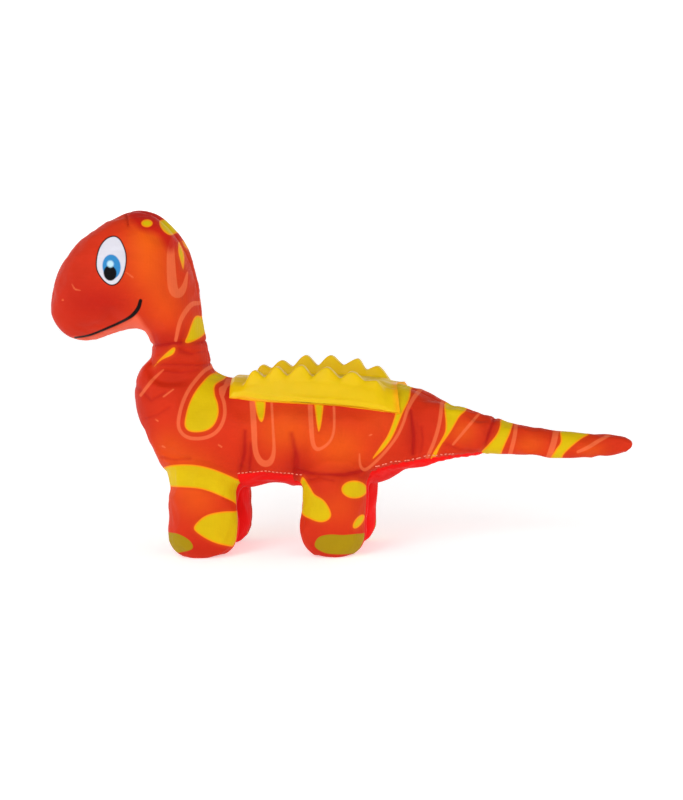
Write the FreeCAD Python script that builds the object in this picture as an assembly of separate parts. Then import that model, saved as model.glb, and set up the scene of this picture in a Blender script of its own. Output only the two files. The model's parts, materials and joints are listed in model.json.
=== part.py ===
import FreeCAD, Part
import math
import os

# Stuffed dinosaur toy: printed fabric panels over fibre filling, a plain red belly, a rubber
# back with two rows of spikes and a squeaker in the trunk.
# Millimetres, +Z up. The head points along -X and the tail along +X. The origin is on the
# floor, under the middle of the whole length, and the outside is the same on both sides of
# y = 0. The toy's own left side is at -Y.

Vector = FreeCAD.Vector
os.makedirs("parts", exist_ok=True)

# ---------------------------------------------------------------- driving dimensions
FABRIC = 0.8          # thickness of the printed fabric with its backing
JOINT_GAP = 0.5       # clear space between two stuffed parts that bend against each other
FULLNESS = 2.2        # exponent of the oval cross-sections: 2 is an ellipse, more is squarer
RING_POINTS = 16      # points on each cross-section
LOFT_SPAN = 3         # stretches between cross-sections that are made as one smooth loft
FAR = 400.0           # larger than the toy, for cutting tools

NECK_HINGE = (-87.5, 113.0)      # x, z of the bend across the neck
NECK_RADIUS = 16.6               # of the rounded lower end of the neck
TAIL_HINGE_X = 56.0              # bend at the root of the tail
TAIL_RADIUS = 15.9
TIP_HINGE_X = 88.0               # bend where the tail is creased
TIP_RADIUS = 10.6
HIP_Z = 33.0                     # height of the four bends where the legs meet the trunk
LEG_INNER_Y = 2.0                # the leg pockets start this far from the middle plane

# Cross-sections: (x, z) of the lowest point, (x, z) of the highest point, half width in y.
TRUNK = [
    ((68.0, 49.8), (68.0, 77.4), 12.6),
    ((58.0, 48.2), (58.0, 81.0), 15.0),
    ((46.0, 45.2), (46.0, 87.2), 18.2),
    ((34.0, 42.8), (36.0, 90.8), 21.5),
    ((20.0, 38.0), (22.0, 92.8), 24.5),
    ((0.0, 36.2), (2.0, 94.8), 26.5),
    ((-30.0, 36.2), (-27.0, 95.6), 27.0),
    ((-56.0, 35.2), (-50.0, 95.5), 26.8),
    ((-82.0, 36.0), (-62.0, 97.0), 26.5),
    ((-101.0, 47.0), (-68.0, 100.0), 25.0),
    ((-109.6, 70.5), (-70.5, 101.5), 23.0),
    ((-113.2, 90.0), (-70.8, 104.5), 20.5),
    ((-109.3, 103.5), (-71.0, 108.5), 18.0),
    ((-103.4, 112.0), (-71.6, 113.0), 16.6),
    ((-103.2, 120.0), (-73.2, 121.0), 16.4),
]
HEAD = [
    ((-103.4, 92.0), (-71.4, 92.0), 16.0),
    ((-103.2, 113.0), (-71.4, 113.0), 16.4),
    ((-104.0, 120.5), (-73.0, 124.0), 17.0),
    ((-107.0, 124.5), (-75.2, 144.0), 19.5),
    ((-110.5, 125.8), (-81.6, 169.0), 22.5),
    ((-114.0, 125.6), (-97.4, 187.8), 24.5),
    ((-118.5, 124.6), (-118.0, 188.4), 25.0),
    ((-125.5, 122.8), (-136.0, 178.8), 24.0),
    ((-133.0, 120.8), (-149.2, 165.8), 21.5),
    ((-141.5, 119.8), (-155.8, 152.4), 17.5),
    ((-149.5, 122.4), (-158.9, 143.4), 12.5),
    ((-154.8, 127.8), (-159.7, 138.0), 6.0),
]
TAIL = [
    ((36.0, 43.4), (36.0, 90.4), 21.0),
    ((46.0, 45.2), (46.0, 87.2), 18.2),
    ((58.0, 48.2), (58.0, 81.0), 15.0),
    ((68.0, 49.8), (68.0, 77.4), 12.6),
    ((78.0, 51.2), (78.0, 75.0), 10.9),
    ((90.0, 51.4), (90.0, 70.8), 9.6),
    ((110.0, 49.6), (110.0, 66.2), 8.4),
    ((130.0, 48.8), (130.0, 63.2), 7.3),
    ((147.0, 49.6), (147.0, 61.4), 6.0),
    ((156.0, 51.2), (156.0, 60.2), 4.6),
    ((160.3, 53.6), (160.3, 58.4), 2.4),
]
# The plain red fabric covers everything below this line, given as (x, z) points.
GUSSET_LINE = [(-90.0, 42.0), (-56.0, 46.0), (-20.0, 45.5), (18.0, 46.0), (34.0, 51.0),
               (50.0, 53.0), (82.0, 56.5)]

# Legs: (z, front x, back x, y of the middle, half width in y) up the leg, left and right alike.
FRONT_LEG = [
    (0.0, -87.5, -65.0, 15.5, 9.0),
    (3.0, -92.8, -60.4, 15.8, 11.8),
    (8.0, -95.8, -57.6, 16.0, 12.9),
    (14.0, -96.4, -56.4, 16.0, 13.2),
    (26.0, -95.6, -55.6, 15.6, 12.9),
    (40.0, -95.0, -55.4, 14.6, 11.9),
    (56.0, -94.6, -55.6, 13.2, 10.4),
]
HIND_LEG = [
    (0.0, -14.0, 8.5, 15.5, 9.0),
    (3.0, -17.2, 12.0, 15.8, 11.8),
    (8.0, -19.6, 14.8, 16.0, 12.9),
    (15.0, -20.6, 15.8, 16.0, 13.2),
    (26.0, -19.6, 17.0, 15.6, 12.9),
    (40.0, -18.4, 18.2, 14.6, 11.9),
    (56.0, -18.0, 18.2, 13.2, 10.4),
]
LEGS = {"front": (FRONT_LEG, -75.4, 20.6), "hind": (HIND_LEG, -0.6, 19.2)}

# Rubber back
SADDLE_FRONT_X, SADDLE_BACK_X = -55.5, 38.5
SADDLE_WALL = 2.4
SADDLE_BED = 0.1                 # between the fabric and the rubber that is stuck to it
SADDLE_LOWER_EDGE = [(-57.0, 88.4), (-20.0, 85.2), (12.0, 82.8), (40.0, 77.4)]
SPIKE_ROW_Y = 13.0
SPIKE_HEIGHT = 9.0               # from the middle of a spike's root to its tip
SPIKE_ROOT_R, SPIKE_TIP_R = 7.2, 2.4
RIDGE_HALF_WIDTH, RIDGE_DEPTH = 4.2, 20.0    # each row of spikes stands on a ridge
# top line of a ridge, (x, z) points
RIDGE_TOP = [(-52.0, 96.8), (-36.0, 99.0), (-24.0, 98.8), (-10.0, 97.5), (5.0, 96.7),
             (16.5, 95.0), (26.5, 92.6), (37.0, 90.0)]
# tips of the spikes, (x, z) points
SPIKES = [(-43.0, 101.2), (-31.4, 103.0), (-18.0, 105.3), (-3.4, 105.0), (10.4, 102.6),
          (22.0, 98.6), (31.5, 93.4)]

# Squeaker: a round bellows pressed from the side, on a disc that holds the reed.
SQUEAKER_X, SQUEAKER_Z = -32.0, 64.0
BULB_R, BULB_WALL, BULB_LENGTH = 15.0, 0.9, 13.0
GROOVE_COUNT, GROOVE_FIRST, GROOVE_PITCH, GROOVE_WIDTH, GROOVE_DEPTH = 2, 3.0, 3.4, 1.0, 0.4
BASE_R, BASE_THICK = 13.7, 2.0
REED_TUBE_R, REED_TUBE_BORE, REED_TUBE_LENGTH = 3.0, 2.0, 6.0
REED_HALF_WIDTH, REED_THICK, REED_LENGTH, REED_FROM_DISC = 1.2, 0.2, 4.0, 1.0
POCKET_GAP = 0.6

# Stitches along the seam between the printed side and the red belly
STITCH_PITCH, STITCH_LENGTH, STITCH_R, STITCH_LIFT = 2.15, 1.5, 0.3, 0.1
STITCH_FROM_X, STITCH_TO_X, STITCH_Z = -53.0, -22.0, 46.4


# ---------------------------------------------------------------- geometry helpers
def xz(point):
    return Vector(point[0], 0, point[1])


def oval_wire(centre, up, height, side, width):
    """Closed curve round an oval: half height along up, half width along side."""
    points = []
    for i in range(RING_POINTS):
        angle = 2 * math.pi * i / RING_POINTS
        c, s = math.cos(angle), math.sin(angle)
        u = math.copysign(abs(c) ** (2 / FULLNESS), c) * height
        v = math.copysign(abs(s) ** (2 / FULLNESS), s) * width
        points.append(centre + up * u + side * v)
    curve = Part.BSplineCurve()
    curve.interpolate(Points=points, PeriodicFlag=True)
    return Part.Wire([curve.toShape()])


def body_loft(sections, inset=0.0):
    """Solid through cross-sections that stand across the middle plane."""
    wires = []
    for i, (low, high, half_width) in enumerate(sections):
        low, high = xz(low), xz(high)
        up = (high - low).normalize()
        centre = (low + high) * 0.5
        if i in (0, len(sections) - 1):     # the inner solid also stops short of the ends
            step = 1 if i == 0 else -1
            beside = sections[i + step]
            inward = ((xz(beside[0]) + xz(beside[1])) * 0.5 - centre).normalize()
            centre = centre + inward * inset
        height = (high - low).Length / 2 - inset
        wires.append(oval_wire(centre, up, height, Vector(0, 1, 0), half_width - inset))
    solid = None
    for first in range(0, len(wires) - 1, LOFT_SPAN):   # a loft turns only a little
        stretch = Part.makeLoft(wires[first:first + LOFT_SPAN + 1], True, False)
        solid = stretch if solid is None else solid.fuse(stretch)
    return solid


def leg_loft(sections, side, inset=0.0):
    """Solid of one leg; side is -1 for the left, +1 for the right."""
    wires = []
    for i, (z, front, back, y, half_width) in enumerate(sections):
        lift = inset if i == 0 else 0.0
        centre = Vector((front + back) / 2, side * y, z + lift)
        wires.append(oval_wire(centre, Vector(1, 0, 0), (back - front) / 2 - inset,
                               Vector(0, side, 0), half_width - inset))
    return Part.makeLoft(wires, True, False)


def block(x0, x1, y0, y1, z0, z1):
    return Part.makeBox(x1 - x0, y1 - y0, z1 - z0, Vector(x0, y0, z0))


def round_bar_y(x, z, radius, y0=-FAR, y1=FAR):
    return Part.makeCylinder(radius, y1 - y0, Vector(x, y0, z), Vector(0, 1, 0))


def round_bar_z(x, radius):
    return Part.makeCylinder(radius, 2 * FAR, Vector(x, 0, -FAR), Vector(0, 0, 1))


def below_line(points, y0=-FAR, y1=FAR, depth=60.0):
    """Everything from y0 to y1 under a line of (x, z) points."""
    corners = [xz(p) for p in points]
    corners.append(xz((points[-1][0], points[-1][1] - depth)))
    corners.append(xz((points[0][0], points[0][1] - depth)))
    corners.append(corners[0])
    face = Part.Face(Part.makePolygon(corners))
    face.translate(Vector(0, y0, 0))
    return face.extrude(Vector(0, y1 - y0, 0))


def skin_and_filling(loft, keep=None, remove=()):
    """The fabric shell and the filling inside it, trimmed alike."""
    outer, inner = loft(0.0), loft(FABRIC)
    if keep is not None:
        outer, inner = outer.common(keep), inner.common(keep)
    for tool in remove:
        outer, inner = outer.cut(tool), inner.cut(tool)
    return outer.cut(inner), inner


def save(name, shape):
    shape.exportStep("parts/" + name + ".step")


def save_halves(name, shape):
    """Left and right panels of a shell."""
    save(name + "_left", shape.common(block(-FAR, FAR, -FAR, 0, -FAR, FAR)))
    save(name + "_right", shape.common(block(-FAR, FAR, 0, FAR, -FAR, FAR)))


# ---------------------------------------------------------------- pieces
def leg_pockets():
    pockets = []
    for sections, x, radius in LEGS.values():
        for side in (-1, 1):
            y0, y1 = sorted((side * LEG_INNER_Y, side * FAR))
            pockets.append(round_bar_y(x, HIP_Z, radius + JOINT_GAP, y0, y1))
    return pockets


def squeaker_pocket():
    """Hollow in the filling that leaves the bellows room to be pressed."""
    radius = BULB_R + POCKET_GAP
    half = BULB_LENGTH / 2 + POCKET_GAP
    return round_bar_y(SQUEAKER_X, SQUEAKER_Z, radius, -half - POCKET_GAP, half + REED_TUBE_LENGTH)


def make_trunk(gusset_zone):
    neck_x, neck_z = NECK_HINGE
    remove = [
        round_bar_y(neck_x, neck_z, NECK_RADIUS + JOINT_GAP),
        block(-FAR, FAR, -FAR, FAR, neck_z, FAR),
        round_bar_z(TAIL_HINGE_X, TAIL_RADIUS + JOINT_GAP),
        block(TAIL_HINGE_X, FAR, -FAR, FAR, -FAR, FAR),
    ] + leg_pockets()
    shell, filling = skin_and_filling(lambda inset: body_loft(TRUNK, inset), remove=remove)
    save_halves("trunk_panel", shell.cut(gusset_zone))
    save("belly_gusset", shell.common(gusset_zone))
    save("trunk_filling", filling.cut(squeaker_pocket()))


def make_saddle():
    wrap = body_loft(TRUNK, -SADDLE_WALL)
    for side in (-1, 1):
        row_y = side * SPIKE_ROW_Y
        wrap = wrap.fuse(below_line(RIDGE_TOP, row_y - RIDGE_HALF_WIDTH,
                                    row_y + RIDGE_HALF_WIDTH, RIDGE_DEPTH))
        for x, z in SPIKES:
            root = Vector(x, row_y, z - SPIKE_HEIGHT)
            height = SPIKE_HEIGHT - SPIKE_TIP_R
            spike = Part.makeCone(SPIKE_ROOT_R, SPIKE_TIP_R, height, root)
            tip = Part.makeSphere(SPIKE_TIP_R, root + Vector(0, 0, height))
            wrap = wrap.fuse([spike, tip])
    ends = block(SADDLE_FRONT_X, SADDLE_BACK_X, -FAR, FAR, 0, FAR)
    saddle = wrap.common(ends).cut(below_line(SADDLE_LOWER_EDGE))
    saddle = saddle.cut(body_loft(TRUNK, -SADDLE_BED))
    save("back_saddle", saddle)


def make_stitches():
    """Short thread lengths lying on the fabric, end to end along the belly seam."""
    trunk = body_loft(TRUNK)
    count = int((STITCH_TO_X - STITCH_FROM_X) / STITCH_PITCH) + 1
    for name, side in (("left", -1), ("right", 1)):
        stitches = []
        for i in range(count):
            x, z = STITCH_FROM_X + i * STITCH_PITCH, STITCH_Z
            line = Part.makeLine(Vector(x, 0, z), Vector(x, side * FAR, z))
            surface_y = max(abs(v.Point.y) for v in line.common(trunk).Vertexes)
            start = Vector(x - STITCH_LENGTH / 2, side * (surface_y + STITCH_R + STITCH_LIFT), z)
            stitches.append(Part.makeCylinder(STITCH_R, STITCH_LENGTH, start, Vector(1, 0, 0)))
        save("belly_stitches_" + name, Part.makeCompound(stitches))


def make_head():
    x, z = NECK_HINGE
    keep = round_bar_y(x, z, NECK_RADIUS).fuse(block(-FAR, FAR, -FAR, FAR, z, FAR))
    shell, filling = skin_and_filling(lambda inset: body_loft(HEAD, inset), keep)
    save_halves("head_panel", shell)
    save("head_filling", filling)


def make_tail(gusset_zone):
    root_end = round_bar_z(TAIL_HINGE_X, TAIL_RADIUS).fuse(
        block(TAIL_HINGE_X, TIP_HINGE_X, -FAR, FAR, -FAR, FAR))
    tip_pocket = round_bar_z(TIP_HINGE_X, TIP_RADIUS + JOINT_GAP)
    shell, filling = skin_and_filling(lambda inset: body_loft(TAIL, inset), root_end,
                                      [tip_pocket])
    save_halves("tail_base_panel", shell.cut(gusset_zone))
    save("tail_base_gusset", shell.common(gusset_zone))
    save("tail_base_filling", filling)

    tip_end = round_bar_z(TIP_HINGE_X, TIP_RADIUS).fuse(
        block(TIP_HINGE_X, FAR, -FAR, FAR, -FAR, FAR))
    shell, filling = skin_and_filling(lambda inset: body_loft(TAIL, inset), tip_end)
    save_halves("tail_tip_panel", shell)
    save("tail_tip_filling", filling)


def make_legs():
    for end, (sections, x, radius) in LEGS.items():
        keep = round_bar_y(x, HIP_Z, radius).fuse(block(-FAR, FAR, -FAR, FAR, -1, HIP_Z))
        seam_y = sections[2][3]     # the printed outside meets the red inside here
        for name, side in (("left", -1), ("right", 1)):
            shell, filling = skin_and_filling(
                lambda inset: leg_loft(sections, side, inset), keep)
            outside = block(-FAR, FAR, *sorted((side * seam_y, side * FAR)), -FAR, FAR)
            node = end + "_leg_" + name
            save(node + "_outer_panel", shell.common(outside))
            save(node + "_inner_panel", shell.cut(outside))
            save(node + "_filling", filling)


def make_squeaker():
    """Bellows with its closed face at -Y, the disc in its mouth and the reed tube at +Y."""
    half = BULB_LENGTH / 2
    x, z = SQUEAKER_X, SQUEAKER_Z
    bulb = round_bar_y(x, z, BULB_R, -half, half)
    for i in range(GROOVE_COUNT):   # the grooves let the side wall fold
        y = -half + GROOVE_FIRST + i * GROOVE_PITCH
        ring = round_bar_y(x, z, BULB_R + 1, y, y + GROOVE_WIDTH)
        bulb = bulb.cut(ring.cut(round_bar_y(x, z, BULB_R - GROOVE_DEPTH, y, y + GROOVE_WIDTH)))
    bulb = bulb.cut(round_bar_y(x, z, BULB_R - BULB_WALL, -half + BULB_WALL, half + 1))
    save("squeaker_bulb", bulb)

    tube_hole = round_bar_y(x, z, REED_TUBE_R, -half, 2 * half)
    base = round_bar_y(x, z, BASE_R, half - BASE_THICK, half).cut(tube_hole)
    save("squeaker_base", base)

    y0 = half - BASE_THICK
    tube = round_bar_y(x, z, REED_TUBE_R, y0, y0 + REED_TUBE_LENGTH)
    tube = tube.cut(round_bar_y(x, z, REED_TUBE_BORE, y0 - 1, y0 + REED_TUBE_LENGTH + 1))
    save("squeaker_reed_tube", tube)
    reed_y = y0 + REED_FROM_DISC
    save("squeaker_reed", block(x - REED_HALF_WIDTH, x + REED_HALF_WIDTH, reed_y,
                                reed_y + REED_LENGTH, z - REED_THICK / 2, z + REED_THICK / 2))


gusset_zone = below_line(GUSSET_LINE)
make_trunk(gusset_zone)
make_saddle()
make_stitches()
make_head()
make_tail(gusset_zone)
make_legs()
make_squeaker()
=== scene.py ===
# %% [markdown]
# # A stuffed dinosaur with a rubber back
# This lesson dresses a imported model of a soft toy: printed satin over fibre filling, a plain
# red belly, a yellow rubber back with two rows of spikes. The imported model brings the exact
# places and the bends; Blender brings the cloth, the seams, the print and the rubber.

# %% Load the fixed frame
import json
import math
import time
import bpy
import numpy as np
from mathutils import Matrix, Vector
from mathutils.bvhtree import BVHTree

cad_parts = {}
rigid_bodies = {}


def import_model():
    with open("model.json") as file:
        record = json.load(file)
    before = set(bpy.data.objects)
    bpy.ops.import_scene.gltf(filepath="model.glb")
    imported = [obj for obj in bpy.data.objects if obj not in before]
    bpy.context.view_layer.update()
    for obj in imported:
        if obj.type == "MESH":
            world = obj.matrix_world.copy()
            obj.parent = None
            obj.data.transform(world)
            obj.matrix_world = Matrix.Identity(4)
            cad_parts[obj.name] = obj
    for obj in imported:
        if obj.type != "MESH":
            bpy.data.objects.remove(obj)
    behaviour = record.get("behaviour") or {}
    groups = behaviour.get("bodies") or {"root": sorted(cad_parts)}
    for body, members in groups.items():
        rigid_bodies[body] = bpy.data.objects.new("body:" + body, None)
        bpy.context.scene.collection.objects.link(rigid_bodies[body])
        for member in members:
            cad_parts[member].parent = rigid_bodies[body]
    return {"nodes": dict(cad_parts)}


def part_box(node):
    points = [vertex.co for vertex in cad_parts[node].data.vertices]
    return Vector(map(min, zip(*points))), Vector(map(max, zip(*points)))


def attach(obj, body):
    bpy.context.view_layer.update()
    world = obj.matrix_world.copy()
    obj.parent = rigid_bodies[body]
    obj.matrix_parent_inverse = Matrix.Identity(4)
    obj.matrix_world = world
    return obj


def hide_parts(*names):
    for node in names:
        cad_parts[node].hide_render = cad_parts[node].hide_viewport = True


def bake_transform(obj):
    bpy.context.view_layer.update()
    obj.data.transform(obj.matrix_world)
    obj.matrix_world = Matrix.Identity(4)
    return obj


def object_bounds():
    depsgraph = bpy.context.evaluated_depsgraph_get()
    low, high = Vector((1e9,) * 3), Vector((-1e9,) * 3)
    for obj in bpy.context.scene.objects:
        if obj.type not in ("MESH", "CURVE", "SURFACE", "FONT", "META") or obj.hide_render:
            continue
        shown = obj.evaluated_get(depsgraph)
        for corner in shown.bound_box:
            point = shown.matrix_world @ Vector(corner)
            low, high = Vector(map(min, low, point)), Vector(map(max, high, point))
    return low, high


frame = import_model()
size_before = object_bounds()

MM = 0.001
started = time.time()
lowest, highest = size_before
print("frame loaded, size in mm:", [round(v / MM, 1) for v in highest - lowest])

# %% [markdown]
# ## Small helpers
# Most tools of Blender work on whatever is selected, so each step starts from nothing
# selected and then picks what it needs in code. Arrays from numpy hold the places of all
# the points of a mesh at once, which is quicker than asking point by point.

# %% Helpers for selecting and for reading points
def pick(*objects):
    """Only these objects are selected, and the first is active."""
    for o in bpy.context.view_layer.objects:
        o.select_set(False)
    for o in objects:
        o.select_set(True)
    bpy.context.view_layer.objects.active = objects[0]


def vectors_of(items, key):
    """One vector of each point or face, as the rows of an array."""
    values = np.empty(len(items) * 3)
    items.foreach_get(key, values)
    return values.reshape(-1, 3)


def points_of(piece):
    """The places of a mesh's points, in millimetres."""
    return vectors_of(piece.data.vertices, "co") / MM


def move_points(piece, places):
    piece.data.vertices.foreach_set("co", (places * MM).ravel())
    piece.data.update()


def apply_all(piece):
    pick(piece)
    for modifier in list(piece.modifiers):
        bpy.ops.object.modifier_apply(modifier=modifier.name)


def normals_of(piece):
    return vectors_of(piece.data.vertices, "normal")


def in_edit_mode(piece, *steps):
    """Run these steps on the piece in edit mode."""
    pick(piece)
    bpy.ops.object.mode_set(mode="EDIT")
    for step in steps:
        step()
    bpy.ops.object.mode_set(mode="OBJECT")


def select_all():
    bpy.ops.mesh.select_all(action="SELECT")


def report(*words):
    print(*words, "after", round(time.time() - started, 1), "s")


# %% [markdown]
# ## Camera
# The camera looks at the toy's left side from a little towards the tail and a little above,
# from over a metre away with a long lens, and it leans very slightly.

# %% Camera
CAMERA_TURN, CAMERA_RISE, CAMERA_LEAN = (math.radians(a) for a in (12, 9, -3))
CAMERA_DISTANCE, CAMERA_LENS = 1.25, 102.3
look_at = Vector((0.0025, 0.0, 0.083))
back = Vector((math.sin(CAMERA_TURN) * math.cos(CAMERA_RISE),
               -math.cos(CAMERA_TURN) * math.cos(CAMERA_RISE), math.sin(CAMERA_RISE)))
camera_data = bpy.data.cameras.new("camera")
camera_data.lens, camera_data.sensor_width = CAMERA_LENS, 36
camera = bpy.data.objects.new("camera", camera_data)
bpy.context.collection.objects.link(camera)
camera.location = look_at + back * CAMERA_DISTANCE
camera.rotation_euler = (-back).to_track_quat("-Z", "Y").to_euler()
camera.rotation_euler.rotate_axis("Z", CAMERA_LEAN)
bpy.context.scene.camera = camera
print("camera at", [round(v, 3) for v in camera.location])

# %% [markdown]
# ## The stuffed shape
# On the real toy flat panels are sewn edge to edge and filled through a gap until they are
# round. A body like this could be carved by hand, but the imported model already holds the
# sizes, so copies of its stuffed solids are joined and remeshed into one closed skin of even
# squares. Voxel remesh melts them together, and a little smoothing takes the edges off.

# %% Join the stuffed solids and remesh them
REMESH = 3.0
SOFTEN_TURNS = 6
pick(*[part for name, part in frame["nodes"].items()
       if name.endswith(("_filling", "_gusset")) or "_panel" in name])
bpy.context.view_layer.objects.active = frame["nodes"]["trunk_filling"]
bpy.ops.object.duplicate()
bpy.ops.object.parent_clear(type="CLEAR_KEEP_TRANSFORM")
bpy.ops.object.join()
skin = bpy.context.object
skin.name = "stuffed_skin"
for key in list(skin.keys()):
    del skin[key]
skin.data.remesh_voxel_size = REMESH * MM
bpy.ops.object.voxel_remesh()
soften = skin.modifiers.new("soften", "SMOOTH")
soften.factor, soften.iterations = 0.5, SOFTEN_TURNS
apply_all(skin)
print("skin:", len(skin.data.polygons), "faces")

# %% Smooth the ledge where the front legs meet the chest
CHEST_FROM_X, CHEST_LOW_Z, CHEST_HIGH_Z, CHEST_TURNS = -88, 36, 64, 22


def group_points(piece, name, chosen):
    """A vertex group with full weight on the chosen points."""
    group = piece.vertex_groups.new(name=name)
    group.add([int(i) for i in np.flatnonzero(chosen)], 1.0, "REPLACE")


x, y, z = points_of(skin).T
group_points(skin, "chest", (x < CHEST_FROM_X) & (z > CHEST_LOW_Z) & (z < CHEST_HIGH_Z))
soften = skin.modifiers.new("soften_chest", "SMOOTH")
soften.vertex_group, soften.factor, soften.iterations = "chest", 0.5, CHEST_TURNS
apply_all(skin)
report("chest smoothed")

# %% [markdown]
# ## Filling it by cloth simulation
# The filling presses the fabric out everywhere except along the seams, where two edges are
# sewn together and hold back. So the seams are pinned, the cloth is blown up from inside for
# twenty frames, and no point may travel more than a few millimetres, less inwards. Below the
# rubber back the fabric stays nearly as it was, because the rubber holds it.

# %% Where the seams run
GUSSET_LINE = [
    (-90, 42), (-56, 45.5), (-38, 47), (-20, 44.6), (18, 44), (25, 47.4), (34, 49.4), (50, 51.4),
    (66, 52.4), (82, 53)]
LEG_SEAM_Y, LEG_SEAM_TO_Z = 16.0, 44
CHEST_SEAM_X, BELLY_SEAM_FROM_X, BELLY_SEAM_TO_X = -95, -88, 80
FAR = 99  # stands for no seam near
# lower edge of the rubber back, which holds the fabric below it: (x, z) points
RUBBER_EDGE = [
    (-56, 88.3), (-39.6, 86.1), (-21, 85.2), (-9.9, 84.3), (13.2, 82.4), (24.6, 80.4),
    (38.5, 77.4)]
legs = {}
for end in ("front", "hind"):
    low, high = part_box(end + "_leg_left_outer_panel")
    legs[end] = (low[0] / MM, high[0] / MM)
HELD_ABOVE, HELD_FADE, HELD_FROM_X, HELD_TO_X, HELD_END = 7, 6, -66, 48, 7


def value_at(line, x):
    """The value at x of a line of (x, value) points."""
    return np.interp(x, *zip(*line))


def gusset_height(x):
    return value_at(GUSSET_LINE, x)


def smooth_step(t):
    t = np.clip(t, 0, 1)
    return t * t * (3 - 2 * t)


def held_by_rubber(places):
    """1 where the rubber back lies on the fabric, 0 from a few millimetres beside it."""
    x, y, z = places.T
    return (smooth_step((z - value_at(RUBBER_EDGE, x) + HELD_ABOVE) / HELD_FADE)
            * smooth_step((x - HELD_FROM_X) / HELD_END) * smooth_step((HELD_TO_X - x) / HELD_END))


def seam_distance(p):
    """How far each point is from the nearest seam, in millimetres."""
    x, y, z = p.T
    centre = np.abs(y) + np.clip(gusset_height(x) - z, 0, None) * (x > CHEST_SEAM_X)
    belly = np.where((x > BELLY_SEAM_FROM_X) & (x < BELLY_SEAM_TO_X),
                     np.abs(z - gusset_height(x)), FAR)
    for front, rear in legs.values():
        at_leg = (x > front - 2) & (x < rear + 2) & (np.abs(y) > 6)
        leg = np.where(z < LEG_SEAM_TO_Z, np.abs(np.abs(y) - LEG_SEAM_Y), FAR)
        belly = np.where(at_leg, leg, belly)
    return np.minimum(centre, belly)


SEAM_REACH = REMESH * 0.6  # points this near a seam are pinned
on_seam = seam_distance(points_of(skin)) < SEAM_REACH
group_points(skin, "seams", on_seam)
print("seam points:", int(on_seam.sum()), "of", len(on_seam))

# %% Blow it up
PRESSURE, FRAMES, CAP, INWARD_CAP = 4.0, 20, 3.0, 0.8
HOLD = 0.9  # the share of the movement that the rubber holds back
before, outward = points_of(skin), normals_of(skin)
cloth = skin.modifiers.new("filling", "CLOTH")
cloth.settings.use_pressure = True
cloth.settings.uniform_pressure_force = PRESSURE
cloth.settings.effector_weights.gravity = 0
cloth.settings.vertex_group_mass = "seams"
cloth.settings.shrink_min = -0.04
cloth.point_cache.frame_end = FRAMES
for f in range(1, FRAMES + 1):
    bpy.context.scene.frame_set(f)
apply_all(skin)
bpy.context.scene.frame_set(1)
travel = points_of(skin) - before
sunk = np.minimum((travel * outward).sum(1) + INWARD_CAP, 0)
travel = (travel - outward * sunk[:, None]) * (1 - HOLD * held_by_rubber(before))[:, None]
length = np.linalg.norm(travel, axis=1, keepdims=True)
move_points(skin, before + travel * np.minimum(1, CAP / np.maximum(length, 1e-9)))
report("moved by up to", round(float(length.max()), 2), "mm, mean", round(float(length.mean()), 2))

# %% [markdown]
# ## Finer squares
# One level of subdivision rounds the skin and gives squares of about a millimetre and a half.
# Smoothing drew the thin end of the tail in a little, so it is stretched back to its length.

# %% Subdivide once
def subdivide(piece):
    finer = piece.modifiers.new("finer", "SUBSURF")
    finer.levels = finer.render_levels = 1
    apply_all(piece)


subdivide(skin)
print("skin:", len(skin.data.polygons), "faces")

# %% Tail back to its full length
TIP_FROM_X, TIP_EXTRA = 130.0, 0.8  # the next subdivision takes back part of the extra
places = points_of(skin)
tip, full = places[:, 0].max(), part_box("tail_tip_panel_left")[1].x / MM
share = np.clip((places[:, 0] - TIP_FROM_X) / (tip - TIP_FROM_X), 0, 1) ** 2
places[:, 0] += share * (full - tip + TIP_EXTRA)
move_points(skin, places)
print("tail was short by", round(full - tip, 2), "mm")

# %% [markdown]
# ## Cutting the skin into the panels it is sewn from
# The real cover is cut from flat cloth: two printed sides, a plain red belly, and a printed
# outside and a red inside for each leg. Here the closed skin is cut back into those panels
# with Bisect, which lays a new line of edges where a plane crosses the selected faces. A few
# more cuts stand where a piece begins to bend, because a piece bends with one joint only.
# Each face is then given the number of its panel, and Separate by Material makes the pieces.

# %% Cutting planes
HEAD_FROM_Z, HEAD_TO_X = 100.0, -60
TAIL_ROOT_FROM_X, TAIL_ROOT_TO_X, TAIL_END_FROM_X, TAIL_END_TO_X = 40.0, 72.0, 80.0, 98.0
LEG_TOP_Z, LEG_TOP_SLOPE, LEG_BEND = 35.0, 0.2, 23.0
LEG_REACH = {"front": (-100.0, -53.5), "hind": (-22.5, 19.5)}
MIDDLE_STRIP = 2.5
NEAR, NEAR_SLOPE = 4, 6  # only faces this near a plane are cut, more where it slopes
LEG_CUTS_TO_Z = 48


bpy.context.tool_settings.mesh_select_mode = (False, False, True)


def face_centres(piece):
    return vectors_of(piece.data.polygons, "center") / MM


def cut(piece, point, across, where):
    """A new line of edges where the plane through point crosses the faces picked by where."""
    in_edit_mode(piece, lambda: bpy.ops.mesh.select_all(action="DESELECT"))
    piece.data.polygons.foreach_set("select", where(*face_centres(piece).T))
    in_edit_mode(piece, lambda: bpy.ops.mesh.bisect(plane_co=Vector(point) * MM, plane_no=across))


def over_leg(x, end):
    return (x > LEG_REACH[end][0]) & (x < LEG_REACH[end][1])


def leg_top(y):
    return LEG_TOP_Z + LEG_TOP_SLOPE * np.abs(y)


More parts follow.
